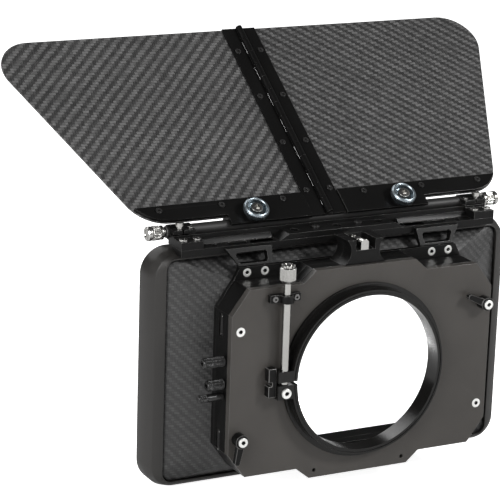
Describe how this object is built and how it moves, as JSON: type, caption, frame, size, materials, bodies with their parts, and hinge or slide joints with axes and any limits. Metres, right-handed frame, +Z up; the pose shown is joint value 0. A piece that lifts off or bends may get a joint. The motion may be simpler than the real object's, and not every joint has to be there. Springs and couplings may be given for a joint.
{
  "type": "lens hood",
  "caption": "Clamp-on matte box lens hood with filter stage, flared rectangular shade and a folding, tilting top flag.",
  "frame": {"origin": "centre of the lens bore in the rear face of the back plate", "axes": "+X right seen from the lens, +Y along the optical axis towards the scene, +Z up"},
  "size_m": [0.3338, 0.1827, 0.2487],
  "materials": {
    "anodised": "satin black anodised aluminium, faint bead-blast grain",
    "black_screw": "black oxide steel, slightly shiny",
    "carbon": "woven carbon fibre under a satin resin, grey-black twill",
    "knob_steel": "bluish satin steel",
    "knurled_black": "black anodised, knurled",
    "plate_black": "satin dark grey-black anodised aluminium",
    "shell_black": "moulded carbon composite, fine satin black",
    "silver": "bright turned stainless steel"
  },
  "bodies": {
    "stage": {"hood_shell": "shell_black", "hood_rim": "shell_black", "hood_clamp_frame": "anodised", "hood_screws": "black_screw", "front_frame": "anodised", "side_rail_left": "anodised", "side_rail_right": "anodised", "bottom_rail": "anodised", "back_plate": "plate_black", "clamp_ring": "anodised", "lug_screw": "silver", "clamp_screw_guide": "anodised", "guide_screws": "silver", "clamp_stop_block": "anodised", "bridge_plate": "anodised", "accessory_rail": "anodised", "rail_screws": "silver", "window_bracket_left": "anodised", "window_bracket_right": "anodised", "bracket_screws": "silver", "end_clamp_left": "anodised", "end_clamp_right": "anodised", "end_clamp_screws": "silver", "tube_pinch_screws": "silver", "tube_lock_screws": "silver", "detent_strips": "black_screw", "detent_screws": "silver", "plate_corner_screws": "silver", "latch_pivot_screws": "silver"},
    "clamp_screw": {"clamp_thumb_screw": "silver"},
    "lever_left": {"latch_lever_left": "anodised"},
    "lever_right": {"latch_lever_right": "anodised"},
    "lock_knob_upper": {"tray_lock_knob_upper": "knurled_black"},
    "lock_knob_lower": {"tray_lock_knob_lower": "knurled_black"},
    "release_pin": {"tray_release_pin": "knurled_black"},
    "filter_trays": {"filter_tray_rear": "anodised", "filter_tray_front": "anodised"},
    "latch_bar": {"tray_latch_bar": "silver"},
    "flag_frame": {"flag_tube": "anodised", "flag_holder": "anodised", "flag_panel_right": "carbon", "flag_bar_right": "anodised", "hinge_leaf_right": "anodised", "hinge_pin": "anodised", "flag_screws_right": "black_screw"},
    "flag_left": {"flag_panel_left": "carbon", "flag_bar_left": "anodised", "hinge_leaf_left": "anodised", "flag_screws_left": "black_screw"},
    "flag_knob_left_body": {"flag_knob_left": "knob_steel"},
    "flag_knob_right_body": {"flag_knob_right": "knob_steel"},
    "tube_knob_left_body": {"tube_knob_left": "silver"},
    "tube_knob_right_body": {"tube_knob_right": "silver"}
  },
  "joints": [
    {"name": "flag_tilt", "type": "hinge", "parent": "stage", "child": "flag_frame", "pos_m": [0, 0.0495, 0.0815], "axis": [-1, 0, 0], "range_deg": [-10, 105]},
    {"name": "flag_fold", "type": "hinge", "parent": "flag_frame", "child": "flag_left", "pos_m": [-0.0013, 0.04606, 0.08642], "axis": [0, 0.8192, 0.5736], "range_deg": [0, 150]},
    {"name": "flag_knob_left_turn", "type": "hinge", "parent": "flag_left", "child": "flag_knob_left_body", "pos_m": [-0.0502, 0.04688, 0.08943], "axis": [0, -0.5736, 0.8192], "continuous": true},
    {"name": "flag_knob_right_turn", "type": "hinge", "parent": "flag_frame", "child": "flag_knob_right_body", "pos_m": [0.0502, 0.04688, 0.08943], "axis": [0, -0.5736, 0.8192], "continuous": true},
    {"name": "tube_knob_left_turn", "type": "hinge", "parent": "flag_frame", "child": "tube_knob_left_body", "pos_m": [-0.114, 0.0495, 0.0815], "axis": [1, 0, 0], "continuous": true},
    {"name": "tube_knob_right_turn", "type": "hinge", "parent": "flag_frame", "child": "tube_knob_right_body", "pos_m": [0.114, 0.0495, 0.0815], "axis": [1, 0, 0], "continuous": true},
    {"name": "clamp_screw_turn", "type": "hinge", "parent": "stage", "child": "clamp_screw", "pos_m": [-0.055, -0.0048, 0.066], "axis": [0, 0, 1], "continuous": true},
    {"name": "lever_left_swing", "type": "hinge", "parent": "stage", "child": "lever_left", "pos_m": [-0.0816, -0.004, -0.0324], "axis": [0, 1, 0], "range_deg": [-80, 10]},
    {"name": "lever_right_swing", "type": "hinge", "parent": "stage", "child": "lever_right", "pos_m": [0.0816, -0.004, 0.0324], "axis": [0, 1, 0], "range_deg": [-80, 10]},
    {"name": "lock_knob_upper_turn", "type": "hinge", "parent": "stage", "child": "lock_knob_upper", "pos_m": [-0.09, 0.008, 0.0135], "axis": [1, 0, 0], "continuous": true},
    {"name": "lock_knob_lower_turn", "type": "hinge", "parent": "stage", "child": "lock_knob_lower", "pos_m": [-0.09, 0.008, -0.0005], "axis": [1, 0, 0], "continuous": true},
    {"name": "release_pin_pull", "type": "slide", "parent": "stage", "child": "release_pin", "axis": [-1, 0, 0], "range_m": [0, 0.003], "stiffness_N_per_m": 120},
    {"name": "trays_lift", "type": "slide", "parent": "stage", "child": "filter_trays", "axis": [0, 0, 1], "range_m": [0, 0.11]},
    {"name": "latch_bar_slide", "type": "slide", "parent": "filter_trays", "child": "latch_bar", "axis": [0, -1, 0], "range_m": [0, 0.012]}
  ]
}
